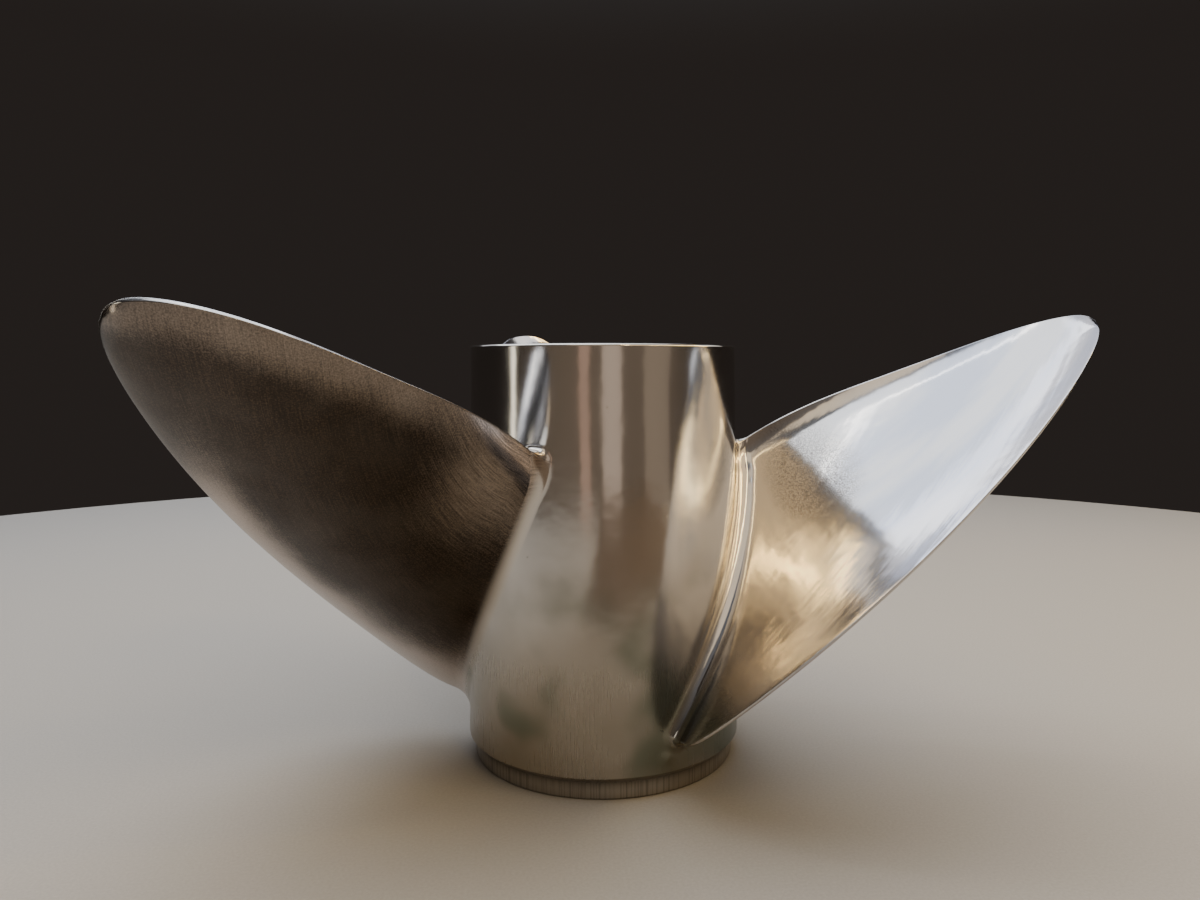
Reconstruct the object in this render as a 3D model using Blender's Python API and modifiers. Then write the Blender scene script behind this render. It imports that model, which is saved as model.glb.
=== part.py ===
"""Three-bladed stainless steel boat propeller with a through-hub exhaust barrel.

The propeller stands on the forward end of its barrel, so +Z runs aft along the shaft
axis and the origin is where that axis meets the plane of the forward end. The real
barrel, blades, inner hub and ribs are one casting. Each is a solid of its own here,
parted from its neighbours by a hair line. The rubber bushing is pressed into the
inner hub, and the splined sleeve is bonded into the bushing.
"""

import math

import bmesh
import bpy
import numpy as np

# Driving dimensions, in metres unless a name says degrees or count.
PARTING_GAP = 0.0003
WELD_DISTANCE = 0.00001

BARREL_LENGTH = 0.179
BARREL_FORWARD_RADIUS = 0.0603
BARREL_AFT_RADIUS = 0.0575
BARREL_WALL = 0.0036
FOOT_BAND_HEIGHT = 0.008
FOOT_BAND_RADIUS = 0.0575
FOOT_STEP_HEIGHT = 0.0012
FOOT_CHAMFER = 0.0008
RIM_ROUNDING = 0.0011
RIM_ROUNDING_STEPS = 4
BARREL_STEPS = 72

BLADE_COUNT = 3
BLADE_TIP_RADIUS = 0.195
BLADE_SPAN_STATIONS = 21
BLADE_CHORD_STATIONS = 19
EDGE_POINTS = 4
FILLET_STATIONS = 6
FILLET_TABLE_STATIONS = 12
ROOT_CAP_ROWS = 5
TIP_STATION_SHARE = 0.9995
SLIM_CHORD = 0.030
TAPER_FADE = 0.060

INNER_HUB_RADIUS = 0.0315
INNER_HUB_WALL = 0.0045
INNER_HUB_FORWARD = 0.012
INNER_HUB_AFT = 0.128
INNER_HUB_LIP = 0.003
RIB_COUNT = 3
RIB_THICKNESS = 0.0055
RIB_FORWARD = 0.020
RIB_AFT = 0.114
RIB_ROTATION_DEGREES = 30.0

BUSHING_FORWARD = 0.016
BUSHING_AFT = 0.122
BUSHING_WAIST = 0.0012

SLEEVE_RADIUS = 0.0175
SLEEVE_FORWARD = 0.010
SLEEVE_AFT = 0.131
SLEEVE_FLANGE_RADIUS = 0.0205
SLEEVE_FLANGE_HEIGHT = 0.004
SPLINE_COUNT = 15
SPLINE_ROOT_RADIUS = 0.0143
SPLINE_TIP_RADIUS = 0.0128
SPLINE_CREST_SHARE = 0.40
SPLINE_FLANK_SHARE = 0.15
SPLINE_VALLEY_SHARE = 0.30

# How the blade runs from root to tip, as control values of smooth curves over the span:
# the angle of the mid chord, its height, the pitch, and half the chord's angle.
BLADE_ROOT_RADIUS = 0.0607
MIDDLE_DEGREES = (-33.2, -43.6, -32.3, -23.3, -24.9)
MIDDLE_HEIGHTS = (0.0791, 0.0899, 0.1224, 0.1518, 0.1852)
PITCHES = (0.617, 0.654, 0.675, 0.702, 0.713)
HALF_CHORD_DEGREES = (32.0, 38.3, 23.2, 20.9, 14.5)
TIP_FULLNESS = 2.5
BLADE_CAMBER = 0.025
CAMBER_LOSS = 0.5
CUP_WIDTH = 0.013
CUP_SHARE = 0.35
CUP_LIFT = 0.0030
ROOT_THICKNESS = 0.0090
TIP_THICKNESS = 0.0024
THICKNESS_FADE = 0.8
BODY_LENGTH = 1.15
BODY_LEAN = 0.75
LEADING_THICKNESS = 0.0014
TRAILING_ROOT_THICKNESS = 0.0018
TRAILING_TIP_THICKNESS = 0.0024
LEADING_ROUNDNESS = 1.0
TRAILING_ROUNDNESS = 0.3

# Radius of the root fillet: broad on the pressure side, tighter on the suction side.
PRESSURE_FILLET = 0.0095
SUCTION_FORWARD_FILLET = 0.0080
SUCTION_AFT_FILLET = 0.0040
NOSE_FILLET = 0.0055
TAIL_FILLET = 0.0070
NOSE_SHARE = 0.06
TAIL_SHARE = 0.12


def clear_scene():
    """Remove every object that the opened file came with."""
    for item in list(bpy.data.objects):
        bpy.data.objects.remove(item, do_unlink=True)


def make_collection(name):
    """Make a collection and link it to the scene."""
    collection = bpy.data.collections.new(name)
    bpy.context.scene.collection.children.link(collection)
    return collection


def make_material(name, colour, roughness, metallic):
    """Make a plain Principled material."""
    material = bpy.data.materials.new(name)
    material.use_nodes = True
    shader = material.node_tree.nodes["Principled BSDF"]
    shader.inputs["Base Color"].default_value = (*colour, 1.0)
    shader.inputs["Roughness"].default_value = roughness
    shader.inputs["Metallic"].default_value = metallic
    return material


def add_mesh_object(name, mesh, collection, material):
    """Link a new object that shows a mesh, and give it its material."""
    made = bpy.data.objects.new(name, mesh)
    collection.objects.link(made)
    if material is not None:
        mesh.materials.append(material)
    return made


def turned_object(name, profile, steps, collection, material):
    """Turn a closed profile of (radius, height) points about the Z axis."""
    mesh = bpy.data.meshes.new(name)
    points = [(radius, 0.0, height) for radius, height in profile]
    edges = [(i, (i + 1) % len(points)) for i in range(len(points))]
    mesh.from_pydata(points, edges, [])
    made = add_mesh_object(name, mesh, collection, material)
    screw = made.modifiers.new("Turn", "SCREW")
    screw.axis = "Z"
    screw.angle = math.tau
    screw.steps = steps
    screw.render_steps = steps
    screw.use_merge_vertices = True
    screw.merge_threshold = WELD_DISTANCE
    return made


def barrel_radius(height):
    """Outer radius of the tapered barrel at a height above the forward end."""
    share = (height - FOOT_BAND_HEIGHT) / (BARREL_LENGTH - FOOT_BAND_HEIGHT)
    return BARREL_FORWARD_RADIUS + (BARREL_AFT_RADIUS - BARREL_FORWARD_RADIUS) * share


def make_barrel(collection, material):
    """Turn the outer barrel, with its inset foot band and rounded after rim."""
    bore_aft = BARREL_AFT_RADIUS - BARREL_WALL
    bore_forward = BARREL_FORWARD_RADIUS - BARREL_WALL
    profile = []
    for step in range(RIM_ROUNDING_STEPS + 1):
        angle = math.pi / 2 * (1 - step / RIM_ROUNDING_STEPS)
        radius = BARREL_AFT_RADIUS - RIM_ROUNDING * (1 - math.cos(angle))
        height = BARREL_LENGTH - RIM_ROUNDING * (1 - math.sin(angle))
        profile.append((radius, height))
    step_top = FOOT_BAND_HEIGHT + FOOT_STEP_HEIGHT
    profile += [
        (barrel_radius(step_top), step_top),
        (FOOT_BAND_RADIUS, FOOT_BAND_HEIGHT - FOOT_STEP_HEIGHT),
        (FOOT_BAND_RADIUS, FOOT_CHAMFER),
        (FOOT_BAND_RADIUS - FOOT_CHAMFER, 0.0),
        (FOOT_BAND_RADIUS - BARREL_WALL + FOOT_CHAMFER, 0.0),
        (FOOT_BAND_RADIUS - BARREL_WALL, FOOT_CHAMFER),
        (FOOT_BAND_RADIUS - BARREL_WALL, FOOT_BAND_HEIGHT),
        (bore_forward, FOOT_BAND_HEIGHT + 2 * FOOT_STEP_HEIGHT),
        (bore_aft, BARREL_LENGTH - RIM_ROUNDING),
        (bore_aft + RIM_ROUNDING, BARREL_LENGTH),
    ]
    return turned_object("outer_barrel", profile, BARREL_STEPS, collection, material)


def barrel_bore(height):
    """Inner radius of the barrel above its foot band."""
    low = FOOT_BAND_HEIGHT + 2 * FOOT_STEP_HEIGHT
    share = (height - low) / (BARREL_LENGTH - RIM_ROUNDING - low)
    taper = BARREL_AFT_RADIUS - BARREL_FORWARD_RADIUS
    return BARREL_FORWARD_RADIUS - BARREL_WALL + taper * share


def make_inner_hub(collection, material):
    """Turn the inner hub, whose forward lip keeps the bushing from pushing through."""
    bore = INNER_HUB_RADIUS - INNER_HUB_WALL
    lip_top = BUSHING_FORWARD - PARTING_GAP
    profile = [
        (INNER_HUB_RADIUS - RIM_ROUNDING, INNER_HUB_AFT),
        (INNER_HUB_RADIUS, INNER_HUB_AFT - RIM_ROUNDING),
        (INNER_HUB_RADIUS, INNER_HUB_FORWARD + RIM_ROUNDING),
        (INNER_HUB_RADIUS - RIM_ROUNDING, INNER_HUB_FORWARD),
        (bore - INNER_HUB_LIP, INNER_HUB_FORWARD),
        (bore - INNER_HUB_LIP, lip_top),
        (bore, lip_top),
        (bore, INNER_HUB_AFT - FOOT_CHAMFER),
        (bore + FOOT_CHAMFER, INNER_HUB_AFT),
    ]
    return turned_object("inner_hub", profile, BARREL_STEPS, collection, material)


def make_bushing(collection, material):
    """Turn the rubber bushing, slightly waisted at its free ends."""
    outer = INNER_HUB_RADIUS - INNER_HUB_WALL - PARTING_GAP
    inner = SLEEVE_RADIUS + PARTING_GAP
    profile = [
        (outer - BUSHING_WAIST, BUSHING_AFT),
        (outer, BUSHING_AFT - 2 * BUSHING_WAIST),
        (outer, BUSHING_FORWARD),
        (inner, BUSHING_FORWARD),
        (inner, BUSHING_AFT - BUSHING_WAIST),
        (inner + BUSHING_WAIST, BUSHING_AFT),
    ]
    return turned_object("rubber_bushing", profile, BARREL_STEPS // 2, collection, material)


def spline_outline(root_radius, tip_radius):
    """Points of a bore with straight-sided teeth, four points a tooth."""
    points = []
    pitch = math.tau / SPLINE_COUNT
    flank_end = SPLINE_CREST_SHARE + SPLINE_FLANK_SHARE
    shares = (
        (0.0, tip_radius),
        (SPLINE_CREST_SHARE, tip_radius),
        (flank_end, root_radius),
        (flank_end + SPLINE_VALLEY_SHARE, root_radius),
    )
    for tooth in range(SPLINE_COUNT):
        for share, radius in shares:
            angle = (tooth + share - SPLINE_CREST_SHARE / 2) * pitch
            points.append((radius * math.cos(angle), radius * math.sin(angle)))
    return points


def make_spline_cutter(collection):
    """Extrude the splined bore's outline as a cutter through the sleeve."""
    outline = spline_outline(SPLINE_ROOT_RADIUS, SPLINE_TIP_RADIUS)
    shape = bmesh.new()
    low, high = SLEEVE_FORWARD - SLEEVE_FLANGE_HEIGHT, SLEEVE_AFT + SLEEVE_FLANGE_HEIGHT
    ring = [shape.verts.new((x, y, low)) for x, y in outline]
    base = shape.faces.new(ring)
    grown = bmesh.ops.extrude_face_region(shape, geom=[base])
    moved = [item for item in grown["geom"] if isinstance(item, bmesh.types.BMVert)]
    bmesh.ops.translate(shape, vec=(0.0, 0.0, high - low), verts=moved)
    bmesh.ops.recalc_face_normals(shape, faces=shape.faces)
    mesh = bpy.data.meshes.new("spline_cutter")
    shape.to_mesh(mesh)
    shape.free()
    cutter = add_mesh_object("spline_cutter", mesh, collection, None)
    cutter.hide_render = True
    cutter.display_type = "WIRE"
    return cutter


def make_sleeve(collection, cutters, material):
    """Turn the bronze sleeve with its thrust flange, and cut its splined bore."""
    core = SPLINE_TIP_RADIUS / 2
    profile = [
        (SLEEVE_RADIUS - FOOT_CHAMFER, SLEEVE_AFT),
        (SLEEVE_RADIUS, SLEEVE_AFT - FOOT_CHAMFER),
        (SLEEVE_RADIUS, SLEEVE_FORWARD + SLEEVE_FLANGE_HEIGHT),
        (SLEEVE_FLANGE_RADIUS, SLEEVE_FORWARD + SLEEVE_FLANGE_HEIGHT),
        (SLEEVE_FLANGE_RADIUS, SLEEVE_FORWARD),
        (core, SLEEVE_FORWARD),
        (core, SLEEVE_AFT),
    ]
    sleeve = turned_object("splined_sleeve", profile, BARREL_STEPS // 2, collection, material)
    cut = sleeve.modifiers.new("Splined bore", "BOOLEAN")
    cut.operation = "DIFFERENCE"
    cut.solver = "EXACT"
    cut.object = make_spline_cutter(cutters)
    return sleeve


def make_rib(number, collection, material):
    """Loft one exhaust rib between the inner hub and the tapered bore."""
    inner = INNER_HUB_RADIUS + PARTING_GAP
    shape = bmesh.new()
    half = RIB_THICKNESS / 2
    rings = []
    for height in (RIB_FORWARD, RIB_AFT):
        outer = barrel_bore(height) - PARTING_GAP
        outer_x = math.sqrt(outer ** 2 - half ** 2)
        corners = ((inner, -half), (outer_x, -half), (outer_x, half), (inner, half))
        rings.append([shape.verts.new((x, y, height)) for x, y in corners])
    for i in range(4):
        j = (i + 1) % 4
        shape.faces.new((rings[0][i], rings[0][j], rings[1][j], rings[1][i]))
    shape.faces.new(list(reversed(rings[0])))
    shape.faces.new(rings[1])
    mesh = bpy.data.meshes.new("rib")
    shape.to_mesh(mesh)
    shape.free()
    rib = add_mesh_object(f"rib_{number}", mesh, collection, material)
    turn = RIB_ROTATION_DEGREES + 360.0 / RIB_COUNT * (number - 1)
    rib.rotation_euler = (0.0, 0.0, math.radians(turn))
    return rib


def along_span(values, share):
    """Value at a share of the span, on the Bezier curve of the control values."""
    order = len(values) - 1
    total = 0.0
    for i, value in enumerate(values):
        total += math.comb(order, i) * share ** i * (1 - share) ** (order - i) * value
    return total


def smooth(share):
    """Ease from 0 to 1 with a level start and end."""
    share = np.clip(share, 0.0, 1.0)
    return share * share * (3 - 2 * share)


def chord_shares():
    """Places along the chord, close together at the nose and the tail."""
    return 0.5 - 0.5 * np.cos(np.linspace(0.0, math.pi, BLADE_CHORD_STATIONS))


def mean_line(span, radius):
    """Points of a section's mean line, unrolled flat, with its chord and direction."""
    closing = math.sqrt(1 - span ** TIP_FULLNESS)
    half_angle = math.radians(along_span(HALF_CHORD_DEGREES, span)) * closing
    half_rise = along_span(PITCHES, span) / math.tau * half_angle
    half_chord = np.array([half_angle * radius, half_rise])
    centre_arc = math.radians(along_span(MIDDLE_DEGREES, span)) * radius
    centre = np.array([centre_arc, along_span(MIDDLE_HEIGHTS, span)])
    chord = 2 * np.linalg.norm(half_chord)
    along = 2 * half_chord / chord
    normal = np.array([-along[1], along[0]])
    t = chord_shares()
    slimness = min(1.0, chord / SLIM_CHORD)
    cup = min(CUP_WIDTH, CUP_SHARE * chord)
    curl = np.clip(1 - (1 - t) * chord / cup, 0.0, None) ** 2
    bow = BLADE_CAMBER * chord * (1 - CAMBER_LOSS * span) * 4 * t * (1 - t)
    offset = slimness * CUP_LIFT * (curl - t) - bow
    points = centre + half_chord * (2 * t - 1)[:, None] + normal * offset[:, None]
    return points, slimness, along


def section_outline(radius):
    """Closed outline of a section, unrolled flat as (arc, height), nose to tail and back."""
    span = (radius - BLADE_ROOT_RADIUS) / (BLADE_TIP_RADIUS - BLADE_ROOT_RADIUS)
    middle, slimness, along = mean_line(span, radius)
    t = chord_shares()
    tangent = np.gradient(middle, axis=0)
    tangent /= np.linalg.norm(tangent, axis=1)[:, None]
    side = np.stack([-tangent[:, 1], tangent[:, 0]], axis=1)
    thickest = ROOT_THICKNESS + (TIP_THICKNESS - ROOT_THICKNESS) * span ** THICKNESS_FADE
    after = TRAILING_ROOT_THICKNESS + (TRAILING_TIP_THICKNESS - TRAILING_ROOT_THICKNESS) * span
    ends = LEADING_THICKNESS * (1 - t) + after * t
    body = np.sin(math.pi * (t / BODY_LENGTH) ** BODY_LEAN)
    half = slimness * (ends + np.clip(thickest - ends, 0.0, None) * body) / 2
    upper = middle + side * half[:, None]
    lower = middle - side * half[:, None]
    tail = rounded_end(upper[-1], lower[-1], along, TRAILING_ROUNDNESS)
    nose = rounded_end(lower[0], upper[0], -along, LEADING_ROUNDNESS)
    return np.concatenate([upper, tail, lower[::-1], nose])


def rounded_end(first, last, outward, roundness):
    """Points of a rounded end between two edge points, without those points."""
    centre = (first + last) / 2
    arm = first - centre
    bulge = outward * np.linalg.norm(arm) * roundness
    angle = np.linspace(0.0, math.pi, EDGE_POINTS + 2)[1:-1]
    return centre + arm * np.cos(angle)[:, None] + bulge * np.sin(angle)[:, None]


def outward_of(loop):
    """Outward direction at each point of a closed outline."""
    tangent = np.roll(loop, -1, axis=0) - np.roll(loop, 1, axis=0)
    tangent /= np.linalg.norm(tangent, axis=1)[:, None]
    return np.stack([-tangent[:, 1], tangent[:, 0]], axis=1)


def fillet_sizes():
    """Radius of the root fillet at each point of the outline."""
    t = chord_shares()
    near_nose = 1 - smooth(t / NOSE_SHARE)
    near_tail = 1 - smooth((1 - t) / TAIL_SHARE)
    suction = SUCTION_FORWARD_FILLET + (SUCTION_AFT_FILLET - SUCTION_FORWARD_FILLET) * smooth(t)
    sides = []
    for size in (PRESSURE_FILLET, suction):
        side = size + (NOSE_FILLET - size) * near_nose
        sides.append(side + (TAIL_FILLET - side) * near_tail)
    ends = np.ones(EDGE_POINTS)
    return np.concatenate([sides[0], ends * TAIL_FILLET, sides[1][::-1], ends * NOSE_FILLET])


def wrap(flat, radii):
    """Wrap flat points round cylinders, seated on the tapered barrel near the root."""
    angle = flat[:, 0] / radii
    fade = np.clip(1 - (radii - BLADE_ROOT_RADIUS) / TAPER_FADE, 0.0, None)
    seat = barrel_radius(flat[:, 1]) + PARTING_GAP - BLADE_ROOT_RADIUS
    place = radii + seat * fade
    return np.stack([place * np.cos(angle), place * np.sin(angle), flat[:, 1]], axis=1)


def blade_rows():
    """Rows of points through one blade, from the barrel to the tip."""
    sizes = fillet_sizes()
    start = BLADE_ROOT_RADIUS + sizes.max()
    table_radii = np.linspace(BLADE_ROOT_RADIUS, start, FILLET_TABLE_STATIONS)
    table = np.array([section_outline(radius) for radius in table_radii])
    column = np.arange(len(sizes))
    rows = []
    for station in range(FILLET_STATIONS):
        angle = math.pi / 2 * station / FILLET_STATIONS
        radii = BLADE_ROOT_RADIUS + sizes * (1 - math.cos(angle))
        place = (radii - BLADE_ROOT_RADIUS) / sizes.max() * (FILLET_TABLE_STATIONS - 1)
        below = np.clip(place.astype(int), 0, FILLET_TABLE_STATIONS - 2)
        part = (place - below)[:, None]
        flat = table[below, column] * (1 - part) + table[below + 1, column] * part
        growth = sizes * (1 - math.sin(angle))
        rows.append(wrap(flat + outward_of(flat) * growth[:, None], radii))
    reach = (BLADE_TIP_RADIUS - start) * TIP_STATION_SHARE
    for station in range(BLADE_SPAN_STATIONS):
        radius = start + reach * math.sin(math.pi / 2 * station / (BLADE_SPAN_STATIONS - 1))
        rows.append(wrap(section_outline(radius), np.full(len(sizes), radius)))
    return rows


def blade_mesh():
    """Loft one blade through its rows, closed on the barrel and at the tip."""
    shape = bmesh.new()
    rings = [[shape.verts.new(point) for point in row] for row in blade_rows()]
    count = len(rings[0])
    for inner, outer in zip(rings, rings[1:]):
        for i in range(count):
            j = (i + 1) % count
            shape.faces.new((inner[i], outer[i], outer[j], inner[j]))
    close_ladder(shape, rings[-1], 1, False)
    close_ladder(shape, rings[0], ROOT_CAP_ROWS, True)
    bmesh.ops.recalc_face_normals(shape, faces=shape.faces)
    mesh = bpy.data.meshes.new("blade")
    shape.to_mesh(mesh)
    shape.free()
    return mesh


def close_ladder(shape, ring, rows, on_barrel):
    """Close a section with rows of faces from its upper to its lower side."""
    start = EDGE_POINTS // 2
    from_nose = ring[-start:] + ring[:-start]
    half = len(from_nose) // 2
    rungs = list(zip(from_nose[:half], from_nose[half:][::-1]))
    columns = []
    for place, (top, bottom) in enumerate(rungs):
        at_end = place in (0, half - 1)
        column = [top]
        for row in range(1, 1 if at_end else rows):
            point = top.co.lerp(bottom.co, row / rows)
            if on_barrel:
                grown = (barrel_radius(point.z) + PARTING_GAP) / math.hypot(point.x, point.y)
                point.x *= grown
                point.y *= grown
            column.append(shape.verts.new(point))
        column.append(bottom)
        columns.append(column)
    for left, right in zip(columns, columns[1:]):
        if len(left) == len(right):
            for row in range(len(left) - 1):
                shape.faces.new((left[row], left[row + 1], right[row + 1], right[row]))
        else:
            shape.faces.new([*left, *right[::-1]])


def make_blades(collection, material):
    """Place the blades evenly round the barrel."""
    mesh = blade_mesh()
    for number in range(1, BLADE_COUNT + 1):
        blade = add_mesh_object(f"blade_{number}", mesh, collection, None)
        blade.rotation_euler = (0.0, 0.0, math.tau / BLADE_COUNT * (number - 1))
    mesh.materials.append(material)


def build_propeller():
    """Build every sub-part of the propeller."""
    clear_scene()
    parts = make_collection("boat_propeller")
    cutters = make_collection("cutters")
    steel = make_material("polished_steel", (0.62, 0.60, 0.57), 0.22, 1.0)
    dull_steel = make_material("cast_steel", (0.36, 0.33, 0.30), 0.55, 1.0)
    rubber = make_material("black_rubber", (0.02, 0.02, 0.02), 0.8, 0.0)
    bronze = make_material("bronze", (0.55, 0.37, 0.16), 0.35, 1.0)
    make_barrel(parts, steel)
    make_blades(parts, steel)
    make_inner_hub(parts, dull_steel)
    for number in range(1, RIB_COUNT + 1):
        make_rib(number, parts, dull_steel)
    make_bushing(parts, rubber)
    make_sleeve(parts, cutters, bronze)


build_propeller()
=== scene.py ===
# %% [markdown]
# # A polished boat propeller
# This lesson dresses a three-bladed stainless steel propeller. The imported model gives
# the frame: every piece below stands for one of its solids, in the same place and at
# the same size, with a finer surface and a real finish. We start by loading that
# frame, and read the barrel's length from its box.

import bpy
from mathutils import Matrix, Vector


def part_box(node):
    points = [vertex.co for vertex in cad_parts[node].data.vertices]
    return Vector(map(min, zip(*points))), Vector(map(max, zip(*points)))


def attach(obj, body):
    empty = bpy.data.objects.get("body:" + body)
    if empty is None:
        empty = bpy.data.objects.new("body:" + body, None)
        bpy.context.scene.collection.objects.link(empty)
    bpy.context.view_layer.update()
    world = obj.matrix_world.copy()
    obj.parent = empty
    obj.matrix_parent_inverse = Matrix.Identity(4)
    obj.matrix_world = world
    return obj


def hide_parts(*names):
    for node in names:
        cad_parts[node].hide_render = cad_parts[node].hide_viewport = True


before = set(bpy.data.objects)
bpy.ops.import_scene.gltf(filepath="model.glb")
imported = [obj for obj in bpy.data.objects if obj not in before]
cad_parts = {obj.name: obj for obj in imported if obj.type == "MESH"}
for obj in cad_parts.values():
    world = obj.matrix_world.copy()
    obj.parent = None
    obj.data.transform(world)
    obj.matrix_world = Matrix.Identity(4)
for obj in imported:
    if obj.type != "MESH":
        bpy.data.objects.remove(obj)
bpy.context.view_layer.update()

# %% Blender's modules and the numbers' module
import math

import bmesh
import bpy
import numpy as np
from mathutils import Vector

print("Blender", bpy.app.version_string)

# %% [markdown]
# ## What the propeller measures
# The real propeller is one casting that a founder would describe by a few numbers: the
# barrel's length and radii, the blades' pitch, sweep and width, and how thick they are.
# The blade's lists are control values of smooth curves from root to tip, so a handful of
# numbers shapes the whole blade, and changing one of them never leaves a kink.

# %% Sizes of the barrel and of what is inside it
barrel_low, barrel_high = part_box("outer_barrel")
BARREL_LENGTH = barrel_high[2]
BARREL_FORWARD_RADIUS = 0.0603
BARREL_AFT_RADIUS = 0.0575
BARREL_WALL = 0.0036
FOOT_BAND_HEIGHT = 0.008
FOOT_BAND_RADIUS = 0.0575
FOOT_STEP_HEIGHT = 0.0012
FOOT_CHAMFER = 0.0008
RIM_ROUNDING = 0.0011

INNER_HUB_RADIUS = 0.0315
INNER_HUB_WALL = 0.0045
INNER_HUB_FORWARD = 0.012
INNER_HUB_AFT = 0.128
INNER_HUB_LIP = 0.003
RIB_THICKNESS = 0.0055
RIB_FORWARD = 0.020
RIB_AFT = 0.114
RIB_ROTATION_DEGREES = 30.0
BUSHING_FORWARD = 0.016
BUSHING_AFT = 0.122
SLEEVE_RADIUS = 0.0175
SLEEVE_FORWARD = 0.010
SLEEVE_AFT = 0.131
SLEEVE_FLANGE_RADIUS = 0.0205
SLEEVE_FLANGE_HEIGHT = 0.004
SPLINE_COUNT = 15
SPLINE_ROOT_RADIUS = 0.0143
SPLINE_TIP_RADIUS = 0.0128
print("barrel from", round(barrel_low[2], 4), "to", round(BARREL_LENGTH, 4), "m")

# %% Sizes of a blade
BLADE_COUNT = 3
BLADE_ROOT_RADIUS = 0.0607
BLADE_TIP_RADIUS = 0.1947
MIDDLE_DEGREES = (-33.2, -43.6, -32.3, -23.3, -24.9)
MIDDLE_HEIGHTS = (0.0791, 0.0899, 0.1224, 0.1518, 0.1849)
PITCHES = (0.617, 0.654, 0.675, 0.702, 0.713)
HALF_CHORD_DEGREES = (32.0, 38.3, 23.2, 20.9, 14.5)
TIP_FULLNESS = 2.5
TIP_STATION_SHARE = 0.9995
BLADE_CAMBER = 0.025
CAMBER_LOSS = 0.5
CUP_WIDTH = 0.013
CUP_SHARE = 0.35
CUP_LIFT = 0.0030
SLIM_CHORD = 0.030
TAPER_FADE = 0.060
ROOT_THICKNESS = 0.0090
TIP_THICKNESS = 0.0024
THICKNESS_FADE = 0.8
BODY_LENGTH = 1.15
BODY_LEAN = 0.75
LEADING_THICKNESS = 0.0014
TRAILING_ROOT_THICKNESS = 0.0018
TRAILING_TIP_THICKNESS = 0.0024
PRESSURE_FILLET = 0.0095
SUCTION_FORWARD_FILLET = 0.0080
SUCTION_AFT_FILLET = 0.0040
NOSE_FILLET = 0.0085
TAIL_FILLET = 0.0070
NOSE_SHARE = 0.16
TAIL_SHARE = 0.12
print("diameter over the blade tips", round(2 * BLADE_TIP_RADIUS, 4), "m")

# %% [markdown]
# ## From rows of points to a piece
# Every form here is a loft: rows of points, each row a closed loop, joined by quads.
# A turned shape is such a loft too, with circles for rows. So one function makes nearly
# all the meshes. Another one writes numbers on the points, so that a finish can know
# where on the piece it is, and the last one names the solid that a piece stands for.

# %% Make a mesh from rows of points
def add_object(name, data):
    """A new object in the scene, for a mesh, a camera or a light."""
    made = bpy.data.objects.new(name, data)
    bpy.context.scene.collection.objects.link(made)
    return made


def loft(name, rows, cap_ends, round_rows=False, end_points=0):
    """A closed mesh through rows of points, shaped (row, point, 3), as a new object."""
    row_count, point_count = rows.shape[:2]
    corner = np.arange(row_count * point_count).reshape(row_count, point_count)
    beside = np.roll(corner, -1, axis=1)
    above = np.roll(corner, -1, axis=0)
    above_beside = np.roll(above, -1, axis=1)
    last = row_count if round_rows else row_count - 1
    quads = np.stack([corner, above, above_beside, beside], axis=-1)[:last].reshape(-1, 4)
    faces = quads.tolist()
    if cap_ends:
        for row in (0, -1):
            faces += end_ladder(np.roll(corner[row], end_points // 2).tolist())
    mesh = bpy.data.meshes.new(name)
    mesh.from_pydata(rows.reshape(-1, 3).tolist(), [], faces)
    mesh.validate()
    shape = bmesh.new()
    shape.from_mesh(mesh)
    bmesh.ops.recalc_face_normals(shape, faces=shape.faces)
    shape.to_mesh(mesh)
    shape.free()
    mesh.shade_smooth()
    return add_object(name, mesh)


def round_shaft(radius, angle, height):
    """Points at a radius, an angle and a height round the shaft."""
    return np.stack([radius * np.cos(angle), radius * np.sin(angle), height + 0 * angle], axis=-1)


def unit(directions):
    """The same directions with length one."""
    return directions / np.linalg.norm(directions, axis=-1, keepdims=True)


def end_ladder(loop):
    """Faces that close a loop of point numbers from side to side."""
    half = len(loop) // 2
    there, back = loop[:half], loop[half:][::-1]
    return [[there[i], there[i + 1], back[i + 1], back[i]] for i in range(half - 1)]


def write_on_points(piece, name, values):
    """Store a number, or three of them, on each point for the finish to read."""
    kind, field = ("FLOAT_VECTOR", "vector") if values.ndim > 1 else ("FLOAT", "value")
    layer = piece.data.attributes.new(name, kind, "POINT")
    layer.data.foreach_set(field, values.astype(np.float32).ravel())


def keep_flat_shade(piece):
    """Keep small rounded corners out of the shade of the large faces beside them."""
    piece.modifiers.new("Flat faces keep their shade", "WEIGHTED_NORMAL")


def dress(piece, node):
    """The piece stands for a solid of the frame and rides with it."""
    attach(piece, "root")
    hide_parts(node)
    print(piece.name, "stands for", node, "with", len(piece.data.polygons), "faces")


# %% [markdown]
# ## Waves that a polishing wheel leaves
# A hand-polished casting is never truly round or flat. The wheel leaves shallow waves,
# up to a tenth of a millimetre high and some centimetres long. They are too low to see as
# shape, but they bend every reflection, and without them metal looks like a drawing. We
# add a dozen sine waves of mixed direction. A seeded generator picks them, so that each
# run gives the same surface.

# %% Shallow waves
WAVE_COUNT = 12
WAVE_SLOPE = 0.010
WAVE_SEED = 11
WAVE_TURNS = (3, 16)
WAVE_RISE = 45.0
WAVE_FADE = 0.020
WAVE_FOOT = 0.010


def smooth(share):
    """Ease from 0 to 1 with a level start and end."""
    share = np.clip(share, 0.0, 1.0)
    return share * share * (3 - 2 * share)


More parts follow.
